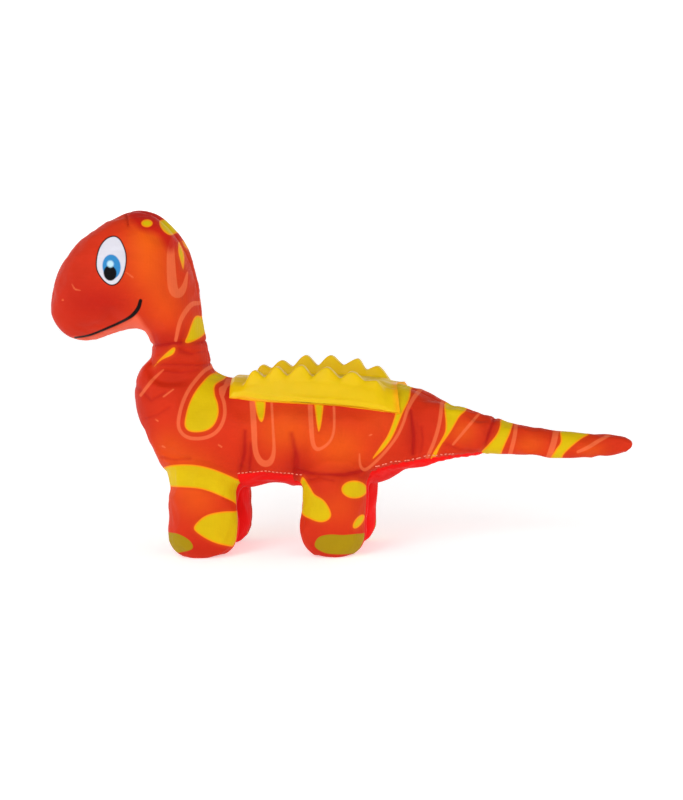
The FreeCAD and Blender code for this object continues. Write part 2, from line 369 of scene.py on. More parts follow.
# %% Cut along the middle, the bends and the belly seam
cut(skin, (0, 0, 0), (0, 1, 0), lambda x, y, z: np.abs(y) < NEAR)
cut(skin, (0, 0, HEAD_FROM_Z), (0, 0, 1),
    lambda x, y, z: (x < HEAD_TO_X) & (np.abs(z - HEAD_FROM_Z) < NEAR))
for place in (TAIL_ROOT_FROM_X, TAIL_END_FROM_X):
    cut(skin, (place, 0, 0), (1, 0, 0), lambda x, y, z: np.abs(x - place) < NEAR)
for (x0, z0), (x1, z1) in zip(GUSSET_LINE, GUSSET_LINE[1:]):
    cut(skin, (x0, 0, z0), (z1 - z0, 0, x0 - x1),
        lambda x, y, z: (x > x0 - 2) & (x < x1 + 2)
        & (np.abs(z - gusset_height(x)) < NEAR_SLOPE))
gusset_start = GUSSET_LINE[0][0]
cut(skin, (gusset_start, 0, 0), (1, 0, 0),
    lambda x, y, z: (z < LEG_SEAM_TO_Z) & (np.abs(x - gusset_start) < NEAR))
print("skin:", len(skin.data.polygons), "faces after the long cuts")

# %% Cut round the legs
for end, reach in LEG_REACH.items():
    for side in (-1, 1):
        cut(skin, (0, 0, LEG_TOP_Z), (0, side * LEG_TOP_SLOPE, -1),
            lambda x, y, z: over_leg(x, end) & (y * side > MIDDLE_STRIP)
            & (np.abs(z - leg_top(y)) < NEAR_SLOPE))
        cut(skin, (0, side * LEG_SEAM_Y, 0), (0, 1, 0),
            lambda x, y, z: over_leg(x, end) & (np.abs(y - side * LEG_SEAM_Y) < NEAR)
            & (z < LEG_CUTS_TO_Z))
    for edge in reach:
        cut(skin, (edge, 0, 0), (1, 0, 0),
            lambda x, y, z: (np.abs(x - edge) < NEAR) & (z < LEG_CUTS_TO_Z)
            & (np.abs(y) > LEG_SEAM_Y - 3))
report("skin:", len(skin.data.polygons), "faces")

# %% Number each face by its panel
PANELS = [
    "trunk_skin_left", "trunk_skin_right", "belly_skin", "head_skin_left", "head_skin_right",
    "tail_root_skin_left", "tail_root_skin_right", "tail_root_belly_skin", "tail_end_skin_left",
    "tail_end_skin_right"]
PANELS += [f"{end}_leg_{side}_{part}_skin" for end in LEG_REACH for side in ("left", "right")
           for part in ("outer", "inner")]


INDEX = {name: i for i, name in enumerate(PANELS)}


def panel_numbers(piece):
    x, y, z = face_centres(piece).T

    def pair(name, ending=""):
        return np.where(y < 0, INDEX[name + "_left" + ending], INDEX[name + "_right" + ending])

    outside = np.abs(y) > LEG_SEAM_Y
    near_leg = over_leg(x, "front") | over_leg(x, "hind")
    under = (x > gusset_start) & (x < GUSSET_LINE[-1][0]) & (z < gusset_height(x))
    root = np.where(under, INDEX["tail_root_belly_skin"], pair("tail_root_skin"))
    number = np.where(under & ~(near_leg & outside), INDEX["belly_skin"], pair("trunk_skin"))
    number = np.where((z > HEAD_FROM_Z) & (x < HEAD_TO_X), pair("head_skin"), number)
    number = np.where(x > TAIL_ROOT_FROM_X, root, number)
    number = np.where(x > TAIL_END_FROM_X, pair("tail_end_skin"), number)
    for end in LEG_REACH:
        leg = over_leg(x, end) & (z < leg_top(y)) & (np.abs(y) > MIDDLE_STRIP)
        which = np.where(outside, pair(end + "_leg", "_outer_skin"),
                         pair(end + "_leg", "_inner_skin"))
        number = np.where(leg, which, number)
    return number


skin.data.materials.clear()
for name in PANELS:
    skin.data.materials.append(bpy.data.materials.new(name))
skin.data.polygons.foreach_set("material_index", panel_numbers(skin))
subdivide(skin)
report("skin:", len(skin.data.polygons), "faces of about",
       round(math.sqrt(sum(f.area for f in skin.data.polygons) / len(skin.data.polygons)) / MM, 2),
       "mm")

# %% [markdown]
# ## Seams, puckers and creases
# Along a seam the filled cloth dips into a narrow groove, and beside it the fabric gathers in
# small puckers. Where the toy was packed or bends it keeps a crease. The squares are small
# enough now to carry these, so points are moved along their normals by a sum of soft dips.
# Flat drawing of a side is easiest in two coordinates. A sheet stands beside the body, and a
# ray from one distant point through the sheet finds the place on the cloth, as a slide
# projector throws its picture. The right side takes the same drawing in a mirror.

# %% Places on the flat drawing
PROJECTOR = np.array(camera.location) / MM
SIDE_SHEET, TAIL_SHEET = -20.0, -10.0


def drawing_places(places, sheet_y):
    """Where each point falls on the drawing sheet that stands at sheet_y."""
    x, y, z = places[:, 0], -np.abs(places[:, 1]), places[:, 2]
    reach = (sheet_y - PROJECTOR[1]) / (y - PROJECTOR[1])
    return np.stack([PROJECTOR[0] + reach * (x - PROJECTOR[0]),
                     PROJECTOR[2] + reach * (z - PROJECTOR[2])], axis=1)


REACH = 12.0  # distances are worked out up to this


def stroke_distance(flat, line):
    """Distance to a drawn line of (x, z, half width) points, less its half width there."""
    line = np.array(line, float)
    nearest = np.full(len(flat), REACH)
    low, high = line[:, :2].min(0) - REACH, line[:, :2].max(0) + REACH
    near = np.flatnonzero(((flat > low) & (flat < high)).all(1))
    points = flat[near]
    for a, b in zip(line, line[1:]):
        along = b[:2] - a[:2]
        t = np.clip((points - a[:2]) @ along / (along @ along), 0, 1)
        gap = np.linalg.norm(points - a[:2] - t[:, None] * along, axis=1)
        nearest[near] = np.minimum(nearest[near], gap - a[2] - t * (b[2] - a[2]))
    return nearest


# %% Creases and puckers
# each crease: depth, width, then (x, z) points on the side sheet
CREASES = [
    (1.0, 1.0, [(-101, 119), (-93, 118.6), (-80, 119.8), (-66, 119.6)]),
    (0.7, 0.9, [(-99, 108.5), (-90, 107.6), (-66, 107)]),
    (0.4, 1.2, [(-94, 112.5), (-86, 115.5), (-75, 113)]),
    (0.4, 1.0, [(-84, 116.5), (-76, 113.5), (-68, 114.5)]),
    (0.5, 1.1, [(-92, 104), (-82, 103), (-72, 104.5)]),
    (0.4, 1.2, [(-104, 78), (-97, 80), (-90, 84)]),
    (0.9, 1.2, [(44.5, 56), (45.5, 66), (44.5, 80)]),
    (0.5, 1.0, [(49, 57), (50.5, 64), (50, 71)]),
    (1.0, 1.3, [(90, 76), (86, 66), (83, 56)]),
    (0.9, 1.7, [(-52, 48), (-49, 58), (-48, 70)]),
    (0.6, 1.4, [(-47, 47), (-45.5, 56), (-45, 63)]),
    (0.7, 2.4, [(-21, 46), (-20, 56), (-22, 68)]),
    (1.0, 1.5, [(-20, 47.5), (-8, 45.5), (6, 45), (16, 47)]),
    (0.5, 1.2, [(-16, 42), (-8, 43.5), (0, 42)]),
    (0.5, 1.4, [(-96, 56), (-88, 54.5), (-80, 55)]),
    (0.6, 1.5, [(-62, 33), (-57, 31)]),
    (0.9, 0.6, [(-107.5, 193), (-106.5, 184.5)]),
    (0.5, 1.6, [(-110, 98), (-100, 88), (-92, 92)]),
    (0.4, 1.4, [(120, 66), (119, 60)]),
    (0.5, 1.5, [(62, 62), (70, 58), (80, 57)])]
SEAM_DEPTH, SEAM_WIDTH = 0.6, 0.9
PUCKER_DEPTH, PUCKER_LENGTH, PUCKER_REACH = 0.2, 5.2, 4.0
TAIL_SEAM_X, TAIL_SEAM_REACH = (20, 84), 5
SMOOTH_SEAM_SHARE = 0.25  # all seams but the one below the tail hardly pucker


def crease_depths(places, narrow=1.0):
    flat = drawing_places(places, SIDE_SHEET)
    depth = np.zeros(len(places))
    for deep, width, line in CREASES:
        gap = stroke_distance(flat, [(x, z, 0) for x, z in line])
        depth += deep * np.exp(-(gap / (width * narrow)) ** 2)
    return depth


def press_creases(piece):
    places, outward = points_of(piece), normals_of(piece)
    seam = seam_distance(places)
    x, y, z = places.T
    gather = np.sin(2 * np.pi * (x + 0.6 * z) / PUCKER_LENGTH + 1.7 * np.sin(x / 7 + z / 5))
    tail_seam = ((x > TAIL_SEAM_X[0]) & (x < TAIL_SEAM_X[1])
                 & (np.abs(z - gusset_height(x)) < TAIL_SEAM_REACH))
    gather = gather * np.where(tail_seam, 1.0, SMOOTH_SEAM_SHARE)
    dip = (crease_depths(places) + SEAM_DEPTH * np.exp(-(seam / SEAM_WIDTH) ** 2)
           + PUCKER_DEPTH * gather * np.exp(-(seam / PUCKER_REACH) ** 2))
    dip[z < 1.0] = 0
    places = places - outward * dip[:, None]
    places[:, 2] = np.clip(places[:, 2], 0, None)  # the floor presses the soles flat
    move_points(piece, places)
    return dip


dips = press_creases(skin)
print("deepest dip", round(float(dips.max()), 2), "mm")

# %% Separate the panels, keeping one whole copy to lay the rubber on
pick(skin)
bpy.ops.object.duplicate()
cover = bpy.context.object
cover.name = "whole_cover"
in_edit_mode(skin, lambda: bpy.ops.mesh.separate(type="MATERIAL"))
panels = {}
for piece in list(bpy.context.selected_objects):
    name = piece.data.materials[0].name
    piece.data.materials.clear()
    piece.name = piece.data.name = name
    piece.vertex_groups.clear()
    panels[name] = piece
print("panels:", {name: len(piece.data.polygons) for name, piece in sorted(panels.items())})

# %% [markdown]
# ## The print
# The pattern is printed on the cloth, so it is part of the colour and not of the shape. It
# could be painted as a picture, but a drawing made of outlines stays sharp at any distance.
# For each point of the cloth the distance to the nearest outline is kept, less than nothing
# inside it, and the shader turns distances into colour: inside, a thin rim, a halo.

# %% Tools for drawing outlines
def rounded(a, b, c, d, count):
    """Points of a rounded line from b towards c, between a and d (a Catmull-Rom curve)."""
    return [0.5 * (2 * b + (c - a) * t + (2 * a - 5 * b + 4 * c - d) * t ** 2
                   + (3 * b - a - 3 * c + d) * t ** 3) for t in np.arange(count) / count]


def smooth_loop(points):
    p = np.array(points, float)
    fours = zip(np.roll(p, 1, 0), p, np.roll(p, -1, 0), np.roll(p, -2, 0))
    return np.vstack([rounded(*four, 5) for four in fours])


def smooth_line(points):
    """A rounded open line through (x, z, half width) points."""
    p = np.array(points, float)
    if len(p) < 3:
        return p
    p = np.vstack([2 * p[0] - p[1], p, 2 * p[-1] - p[-2]])
    return np.vstack([rounded(*four, 4) for four in zip(p, p[1:], p[2:], p[3:])] + [p[-2:-1]])


def oval(x, z, half_length, half_width, turn=0.0):
    a = np.arange(16) * 2 * np.pi / 16
    c, s = math.cos(math.radians(turn)), math.sin(math.radians(turn))
    u, v = half_length * np.cos(a), half_width * np.sin(a)
    return list(zip(x + u * c - v * s, z + u * s + v * c))


def outline_distance(flat, points):
    """Distance to a closed outline, less than nothing inside it."""
    loop = smooth_loop(points)
    closed = np.vstack([loop, loop[:1]])
    distance = stroke_distance(flat, [(x, z, 0) for x, z in closed])
    near = np.flatnonzero(distance < REACH)
    x, z = flat[near].T
    inside = np.zeros(len(near), bool)
    for (x0, z0), (x1, z1) in zip(closed, closed[1:]):
        if z0 != z1:
            inside ^= ((z0 > z) != (z1 > z)) & (x < (x1 - x0) * (z - z0) / (z1 - z0) + x0)
    distance[near[inside]] *= -1
    return distance


def nearest_of(flat, outlines=(), strokes=()):
    found = [outline_distance(flat, o) for o in outlines]
    found += [stroke_distance(flat, smooth_line(s)) for s in strokes]
    return np.min(found, axis=0)


# %% Yellow shapes on the side
TEARDROP = [
    (-82, 75), (-80.5, 71), (-76, 69.8), (-70, 70.6), (-65.5, 73.5), (-62.6, 79), (-62.3, 85),
    (-63.8, 91), (-63, 96), (-57, 99.8), (-62, 102.6), (-66, 101.5), (-70.5, 97.5), (-75.5, 91.5),
    (-79.5, 84)]
YELLOW_OUTLINES = [
    TEARDROP,
    oval(-96, 185.5, 3.2, 2.1), oval(-85, 183, 5.3, 2.8, -50),
    [(-78.8, 119.8), (-77, 124), (-73.5, 132), (-71, 134.3), (-68.3, 133), (-66.5, 128),
     (-68, 123.5), (-75, 119.8)],
    [(-97.5, 106.5), (-93, 111.5), (-86, 117), (-84.5, 116), (-86.5, 113), (-93, 110.2)],
    [(-98.4, 46.5), (-95.8, 50.2), (-89, 51.8), (-78, 51.6), (-67, 49), (-54.5, 43.5), (-51, 41),
     (-52, 27), (-57, 30.5), (-62, 33), (-70, 36.5), (-78, 38.5), (-93, 39.6), (-98.4, 41)],
    [(-80.5, 16), (-77, 20.5), (-72, 23.5), (-65, 25), (-58, 25.3), (-52, 24), (-52, 7),
     (-58, 5.4), (-63, 6), (-70, 8), (-77, 12)],
    [(-41.3, 92), (-40.9, 80), (-38.5, 74.8), (-36.2, 80), (-35.6, 92)],
    [(-8.2, 92), (-8, 78), (-6.8, 69), (-4.4, 77), (-2.8, 92)],
    [(-17.5, 44), (-13.5, 38.8), (-11, 34.5), (-6, 31), (-3, 26), (-2.5, 22), (-5, 19.5),
     (-9, 18.8), (-14, 20.5), (-19, 24), (-20, 33)], oval(11.3, 36.8, 7.2, 5),
    oval(12.8, 19, 4.8, 2.1, 50)]
YELLOW_STROKES = [
    [(-78.8, 174.5, 0.2), (-78, 169.5, 1.4), (-77.4, 165, 1.2), (-77.3, 160, 0.2)],
    [(40.6, 93, 4.8), (40.6, 87, 3.6), (38.2, 79, 1.9), (33, 67, 1.4), (28, 60, 1.2),
     (22.5, 54, 0.3)]]
OLIVE_OUTLINES = [
    [(-99, 13), (-93, 13.4), (-88, 12), (-83, 8.5), (-82, 4.5), (-88, 2.5), (-97, 2.5)],
    [(-12.5, 6), (-10, 10.3), (-4, 11.8), (4, 11.5), (13, 12.2), (19, 12), (19, 3), (8, 1),
     (-4, 1), (-10, 3)]]

# %% Salmon lines on the side
RING_MIDDLE, RING_HALF = 3.5, 1.0  # the ring that runs round the teardrop
SALMON_STROKES = [
    [(-81, 180, 0.4), (-83.4, 171, 2.0), (-84, 158, 2.6), (-83.4, 148.6, 2.7), (-80.3, 146.8, 2.3),
     (-77.2, 150.5, 1.5), (-75, 158, 0.5)],
    [(-84, 121, 0.9), (-80.5, 132, 1.2), (-74, 140.3, 1.3), (-68, 141, 1.0)],
    [(-106, 91, 0.8), (-99, 99, 0.9), (-92, 105, 0.4)], [(-93, 90, 0.5), (-87, 94, 0.4)],
    [(-59.4, 90, 1.0), (-57.6, 95, 1.2), (-55.2, 100, 1.2)],
    [(-42.9, 92, 1.6), (-42.9, 72, 1.6), (-42.9, 60, 1.5), (-41, 54, 1.7), (-38, 51.8, 1.8),
     (-34.6, 53, 1.6), (-32.4, 59, 1.0), (-32.2, 72, 0.7), (-32.2, 92, 0.7)],
    [(-10.7, 92, 1.3), (-10.8, 72, 1.3), (-10.4, 63, 1.2), (-8.6, 59.6, 1.1), (-5.5, 60, 0.8),
     (-1, 63.5, 0.7), (1.5, 69, 0.7), (2.3, 78, 0.7), (2.3, 92, 0.7)],
    [(50, 91, 1.2), (46, 86, 1.1), (42.6, 80, 0.9), (40, 73, 0.8), (36, 65.5, 0.8), (29, 57, 0.8),
     (21, 49.6, 0.8), (17.2, 47.8, 0.9), (15.2, 50.5, 0.7), (15.2, 56.5, 0.4)],
    [(-109.5, 159, 0.4), (-106, 156.3, 0.5)],
    [(-141, 153.5, 0.3), (-139.5, 150.8, 0.45), (-136.5, 150, 0.3)],
    [(-147.2, 145, 0.5), (-146.8, 145, 0.5)], [(-98.4, 77.4, 0.4), (-97, 76.4, 0.4)],
    [(-95.4, 62.4, 0.5), (-94, 61.6, 0.4)], [(-63.4, 62.6, 0.5), (-61.8, 61.4, 0.5)],
    [(21, 66.5, 0.4), (22.5, 67, 0.4)]]

# %% Shapes on the tail
TAIL_YELLOW = [
    [(62, 84), (73, 79), (69, 74), (64, 66), (58, 58), (55, 52), (53, 51), (53, 53), (60, 64),
     (61.5, 70)],
    [(92, 76), (99, 75), (96.8, 66), (94, 60), (91.5, 54.5), (89, 48), (76, 48), (80, 54.5),
     (84.5, 59), (88.8, 64), (91, 69)],
    [(124.5, 70), (141, 66), (134.4, 61), (129.3, 57), (124.4, 52), (123, 46), (114, 46),
     (117.2, 50.5), (121, 56), (123.5, 60)]]
TAIL_SALMON = [
    [(60.5, 86, 1.0), (58.3, 72, 1.0), (54.8, 61, 1.0), (49.5, 50, 0.9)],
    [(82, 78, 0.6), (73, 68, 0.8), (65, 59, 0.6)],
    [(100.2, 74, 0.9), (98.7, 63, 1.1), (94.8, 50, 1.1)],
    [(122, 70, 1.6), (119.6, 59, 1.6), (115, 47, 1.4)],
    [(150, 63, 0.7), (144, 60, 1.0), (138, 56.4, 1.0), (132.5, 54, 0.8)]]

# %% The face
EYE = [
    (-115.5, 179.5), (-120, 178), (-124, 173.5), (-126.3, 167), (-126.5, 161), (-124, 156),
    (-121, 153), (-118, 152), (-114.5, 153.3), (-111, 158), (-109, 164), (-108.8, 170),
    (-110.5, 175.5), (-112.5, 178.3)]
IRIS, PUPIL, GLINT = oval(-117.7, 162.5, 5.2, 6.7), oval(-118.8, 159, 3.7, 4.2), \
    oval(-118.3, 164, 1.9, 1.9)
MOUTH = [
    (-102.5, 143.4, 1.0), (-104, 139.5, 1.1), (-106.8, 136.2, 1.05), (-110, 134, 0.85),
    (-115, 131.7, 0.75), (-121, 129.3, 0.7), (-128, 126.7, 0.65), (-134, 124.9, 0.6),
    (-141.5, 123.9, 0.5)]
LIP = [
    (-105.5, 135.5), (-110, 132.8), (-121, 128.4), (-134, 124.2), (-143, 123.4), (-146, 116),
    (-120, 112), (-99, 116), (-98, 124), (-101.5, 130)]
CROWN = [
    (-108, 193), (-101, 182), (-91, 178), (-85, 169), (-79, 172), (-78, 182), (-88, 193),
    (-98, 197)]

# %% Soft patches of printed orange, and patches of darker red that are painted shade
# (x, z, half length, half height, how much)
ORANGE_PATCHES = [
    (-97, 165, 13, 17, 0.8), (-97, 178, 10, 8, 0.5), (-88, 140, 12, 14, 0.45),
    (-80, 45, 14, 14, 0.75), (-25, 70, 17, 13, 0.7), (5, 60, 15, 13, 0.7), (-92, 62, 10, 10, 0.4),
    (-76, 28, 12, 9, 0.35), (2, 27, 12, 10, 0.35), (72, 68, 8, 7, 0.6), (108, 60, 9, 6, 0.6),
    (140, 57, 8, 5, 0.5), (28, 74, 12, 9, 0.3)]
# painted shade: darker red under the snout, the eye and the head, in folds and creases, at the hip
# and low near the floor
PAINTED_SHADE_PATCHES = [
    (-140, 142, 16, 20, 0.45), (-122, 143, 15, 9, 0.6), (-108, 80, 8, 24, 0.35),
    (-90, 121, 16, 6, 0.7), (-20, 50, 8, 12, 0.75), (-47, 54, 6, 12, 0.5), (12, 45, 14, 4, 0.6),
    (45, 66, 5, 14, 0.6), (-76, 4, 20, 6, 0.4), (0, 3, 20, 6, 0.4), (86, 62, 4, 12, 0.3),
    (-84, 100, 16, 10, 0.25), (-57, 93, 3, 7, 0.5)]
# painted shade: each crease is darkened along its middle, where the fold falls into shadow
CREASE_PAINTED_SHADE = 0.8  # a crease also shows as a narrow darker line


def patches(flat, table):
    total = np.zeros(len(flat))
    for x, z, half_length, half_height, amount in table:
        total += amount * np.exp(-((flat[:, 0] - x) / half_length) ** 2
                                 - ((flat[:, 1] - z) / half_height) ** 2)
    return np.clip(total, 0, 1)


# %% Give every point of a panel its distances
RIGHT_LEG_MARGIN = 4.0
NO_YELLOW = 3  # a distance that lies beyond the yellow's halo


def keep_numbers(piece, name, values):
    piece.data.attributes.new(name, "FLOAT", "POINT").data.foreach_set(
        "value", np.asarray(values, np.float32))


def print_side(piece, tail=False, face=False):
    places = points_of(piece)
    flat = drawing_places(places, SIDE_SHEET)
    if tail:
        tail_flat = drawing_places(places, TAIL_SHEET)
        yellow = nearest_of(tail_flat, TAIL_YELLOW)
        salmon = nearest_of(tail_flat, (), TAIL_SALMON)
        if "root" in piece.name:  # the shapes on the side run on to the tail's root
            yellow = np.minimum(yellow, nearest_of(flat, (), YELLOW_STROKES))
            salmon = np.minimum(salmon, nearest_of(flat, (), SALMON_STROKES))
    else:
        yellow = nearest_of(flat, YELLOW_OUTLINES, YELLOW_STROKES)
        ring = np.abs(outline_distance(flat, TEARDROP) - RING_MIDDLE) - RING_HALF
        salmon = np.minimum(ring, nearest_of(flat, (), SALMON_STROKES))
    if "leg_right" in piece.name:  # the right legs' yellow stops short of the seam
        behind = places[:, 0] > places[:, 0].max() - RIGHT_LEG_MARGIN
        yellow = np.where(behind, np.maximum(yellow, NO_YELLOW), yellow)
    keep_numbers(piece, "yellow", yellow)
    keep_numbers(piece, "salmon", salmon)
    keep_numbers(piece, "olive", nearest_of(flat, OLIVE_OUTLINES))
    keep_numbers(piece, "orange", patches(flat, ORANGE_PATCHES))
    # painted shade: the darker patches and a narrow line along each crease
    keep_numbers(piece, "dark", patches(flat, PAINTED_SHADE_PATCHES)
                 + CREASE_PAINTED_SHADE * crease_depths(places, narrow=0.6))
    if face:
        for name, outline in (("eye", EYE), ("iris", IRIS), ("pupil", PUPIL), ("glint", GLINT),
                              ("lip", LIP), ("crown", CROWN)):
            keep_numbers(piece, name, outline_distance(flat, outline))
        keep_numbers(piece, "mouth", stroke_distance(flat, smooth_line(MOUTH)))


printed = [name for name in PANELS if "belly" not in name and "inner" not in name]
for name in printed:
    print_side(panels[name], tail=name.startswith("tail"), face=name.startswith("head"))
report("printed", len(printed), "panels")

# %% [markdown]
# ## Cloth materials
# The cloth is a thin polyester satin: fine threads, a soft sheen and small slack wrinkles. A
# flat colour would look like plastic. The shader reads the kept distances for colour, and
# two crossed waves make the threads, with broad noise below them for the slack.

# %% Shader helpers
def linear(red, green, blue):
    """A colour as screens give it, 0 to 255, in the even scale that shaders use."""
    part = [c / 255 for c in (red, green, blue)]
    return tuple(c / 12.92 if c <= 0.04045 else ((c + 0.055) / 1.055) ** 2.4 for c in part) + (1,)


class Paint:
    """A material and short ways to add nodes to it."""

    def __init__(self, name, roughness, surface=None):
        self.material = bpy.data.materials.new(name)
        self.material.use_nodes = True
        self.tree = self.material.node_tree
        self.surface = self.tree.nodes["Principled BSDF"].inputs
        self.places = self.tree.nodes.new("ShaderNodeTexCoord").outputs["Object"]
        self.fill(self.surface, {"Roughness": roughness, **(surface or {})})

    def fill(self, sockets, values):
        """Give each socket a number, a colour or the output of another node."""
        for key, value in values.items():
            if isinstance(value, bpy.types.NodeSocket):
                self.tree.links.new(value, sockets[key])
            else:
                sockets[key].default_value = value

    def node(self, kind, values, **settings):
        """The outputs of a new node."""
        node = self.tree.nodes.new("ShaderNode" + kind)
        for key, value in settings.items():
            setattr(node, key, value)
        self.fill(node.inputs, values)
        return node.outputs

    def number(self, name):
        return self.node("Attribute", {}, attribute_name=name)["Fac"]

    def steps(self, value, low, high, to_low=0.0, to_high=1.0):
        return self.node("MapRange", {"Value": value, "From Min": low, "From Max": high,
                                      "To Min": to_low, "To Max": to_high})["Result"]

    def product(self, a, b):
        return self.node("Math", {0: a, 1: b}, operation="MULTIPLY")[0]

    def mix(self, share, a, b):
        """Colour a where share is 0 and colour b where it is 1."""
        return self.node("Mix", {0: share, 6: a, 7: b}, data_type="RGBA")[2]

    def noise(self, scale, detail=2.0):
        return self.node("TexNoise", {"Scale": scale, "Detail": detail,
                                      "Vector": self.places})["Fac"]

    def threads(self, direction, scale):
        return self.node("TexWave", {"Scale": scale, "Distortion": 0.6, "Vector": self.places},
                         bands_direction=direction)["Fac"]

    def bumps(self, *heights):
        """Stack bumps: each is (height, strength, distance in metres)."""
        below = {}
        for height, strength, distance in heights:
            below = {"Normal": self.node("Bump", {"Height": height, "Strength": strength,
                                                  "Distance": distance, **below})["Normal"]}
        self.fill(self.surface, below)

    def layers(self, colour, *rows):
        """Lay colours over each other: (number, outside at, inside at, how much, colour)."""
        for name, outside, inside, amount, tone in rows:
            share = self.steps(self.number(name), outside, inside, 0, amount)
            colour = self.mix(share, colour, tone)
        return colour


THREAD_SCALE = 420  # waves of about three quarters of a millimetre
# the last red on the next line is the colour of painted shade
RED, ORANGE, PAINTED_SHADE_RED = linear(198, 44, 14), linear(222, 86, 10), linear(162, 14, 8)
YELLOW, YELLOW_RIM, HALO = linear(206, 174, 0), linear(236, 142, 10), linear(200, 62, 6)
SALMON, OLIVE, PLAIN_RED = linear(230, 108, 64), linear(158, 130, 4), linear(236, 12, 8)


def satin(paint, colour):
    """The weave, the slack and the sheen that all the cloth shares."""
    weave = paint.product(paint.threads("X", THREAD_SCALE), paint.threads("Z", THREAD_SCALE))
    slack = paint.noise(70, 3)
    fading = paint.steps(paint.noise(35, 4), 0.3, 0.7, 0.93, 1.05)
    value = paint.product(fading, paint.steps(weave, 0, 1, 0.96, 1.04))
    tone = paint.node("HueSaturation", {"Color": colour, "Value": value})["Color"]
    paint.bumps((slack, 0.6, 0.0014), (weave, 0.35, 0.0001))
    paint.fill(paint.surface, {
        "Base Color": tone, "Roughness": paint.steps(weave, 0, 1, 0.62, 0.5),
        "Sheen Weight": 0.02, "Sheen Roughness": 0.4, "Specular IOR Level": 0.09})


def print_colours(paint):
    # the first of the layers darkens the red with painted shade; the others are print
    return paint.layers(
        paint.mix(paint.number("orange"), RED, ORANGE), ("dark", 0, 1, 0.85, PAINTED_SHADE_RED),
        ("yellow", 2.2, 0.6, 0.6, HALO), ("salmon", 0.25, -0.25, 0.65, SALMON),
        ("yellow", 0.2, -0.2, 1, YELLOW_RIM), ("yellow", -0.4, -1.1, 1, YELLOW),
        ("olive", 0.25, -0.25, 1, OLIVE))


# %% Printed sides, printed face and plain red
printed_satin = Paint("printed_satin", 0.55)
satin(printed_satin, print_colours(printed_satin))

face_satin = Paint("printed_face_satin", 0.55)
crown = face_satin.steps(face_satin.number("crown"), 1.0, -3.0, 0, 0.85)
outside_yellow = face_satin.steps(face_satin.number("yellow"), 0.0, 0.3)
colour = face_satin.mix(face_satin.product(crown, outside_yellow), print_colours(face_satin),
                        linear(186, 16, 10))
satin(face_satin, face_satin.layers(
    colour, ("lip", 1.4, -1.4, 0.8, linear(238, 104, 72)),
    ("mouth", 0.22, -0.22, 1, linear(8, 2, 2)), ("eye", 0.22, -0.22, 1, linear(36, 10, 8)),
    ("eye", -0.55, -0.85, 1, linear(206, 204, 214)), ("iris", 0.3, -0.3, 1, linear(46, 128, 186)),
    ("pupil", 0.3, -0.3, 1, linear(2, 2, 6)), ("glint", 0.5, -0.5, 1, linear(180, 216, 230))))

red_satin = Paint("plain_red_satin", 0.55)
shade = red_satin.steps(red_satin.noise(28), 0.35, 0.7)
satin(red_satin, red_satin.mix(shade, PLAIN_RED, linear(206, 18, 14)))
print("cloth materials made")

# %% [markdown]
# ## Cloth has a thickness
# Solidify gives each panel a wall of cloth inwards, with a rim where it was cut.

# %% Thickness and material of each panel; the trunk's panels go with the trunk
CLOTH_THICKNESS = 0.8
for name, piece in panels.items():
    wall = piece.modifiers.new("thickness", "SOLIDIFY")
    wall.thickness, wall.offset = CLOTH_THICKNESS * MM, -1
    apply_all(piece)
    bpy.ops.object.shade_smooth_by_angle(angle=math.radians(60))
    paint = (red_satin if name not in printed else
             face_satin if name.startswith("head") else printed_satin)
    piece.data.materials.append(paint.material)
for name in ("trunk_skin_left", "trunk_skin_right", "belly_skin"):
    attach(panels[name], "trunk")
for side in ("left", "right"):
    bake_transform(panels[f"head_skin_{side}"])
    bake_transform(panels[f"tail_end_skin_{side}"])
for name in ("tail_root_skin_left", "tail_root_skin_right", "tail_root_belly_skin"):
    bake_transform(panels[name])
for end in LEG_REACH:
    for side, sign in (("left", -1), ("right", 1)):
        for part in ("outer", "inner"):
            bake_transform(panels[f"{end}_leg_{side}_{part}_skin"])

# %% Hide the imported parts that the panels stand for
STANDS_FOR = {"belly_skin": ["belly_gusset"], "tail_root_belly_skin": ["tail_base_gusset"]}
for name, node in (("trunk", "trunk"), ("head", "head"), ("tail_root", "tail_base"),
                   ("tail_end", "tail_tip")):
    STANDS_FOR[name + "_skin_left"] = [node + "_panel_left", node + "_filling"]
    STANDS_FOR[name + "_skin_right"] = [node + "_panel_right"]
for end in LEG_REACH:
    for side in ("left", "right"):
        leg = f"{end}_leg_{side}"
        STANDS_FOR[leg + "_outer_skin"] = [leg + "_outer_panel", leg + "_filling"]
        STANDS_FOR[leg + "_inner_skin"] = [leg + "_inner_panel"]
for name, nodes in STANDS_FOR.items():
    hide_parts(*nodes)

# %% [markdown]
# ## The rubber back
# The back is one soft rubber moulding: a smooth band down each side that rises into a row of
# blunt spikes, a hollow between the two rows, and a thin rim that lies on the fabric. Cones
# set on a sheet would show a joint at each foot. So a flat grid is laid over the filled body,
# evened out because rubber doesn't follow small wrinkles, and lifted by the thickness of the
# rubber. The rows are pulled up from it by two crest lines. Extruding the whole grid gives the
# rubber its wall, and the inner side is sunk into the fabric so that no gap shows at the rim.

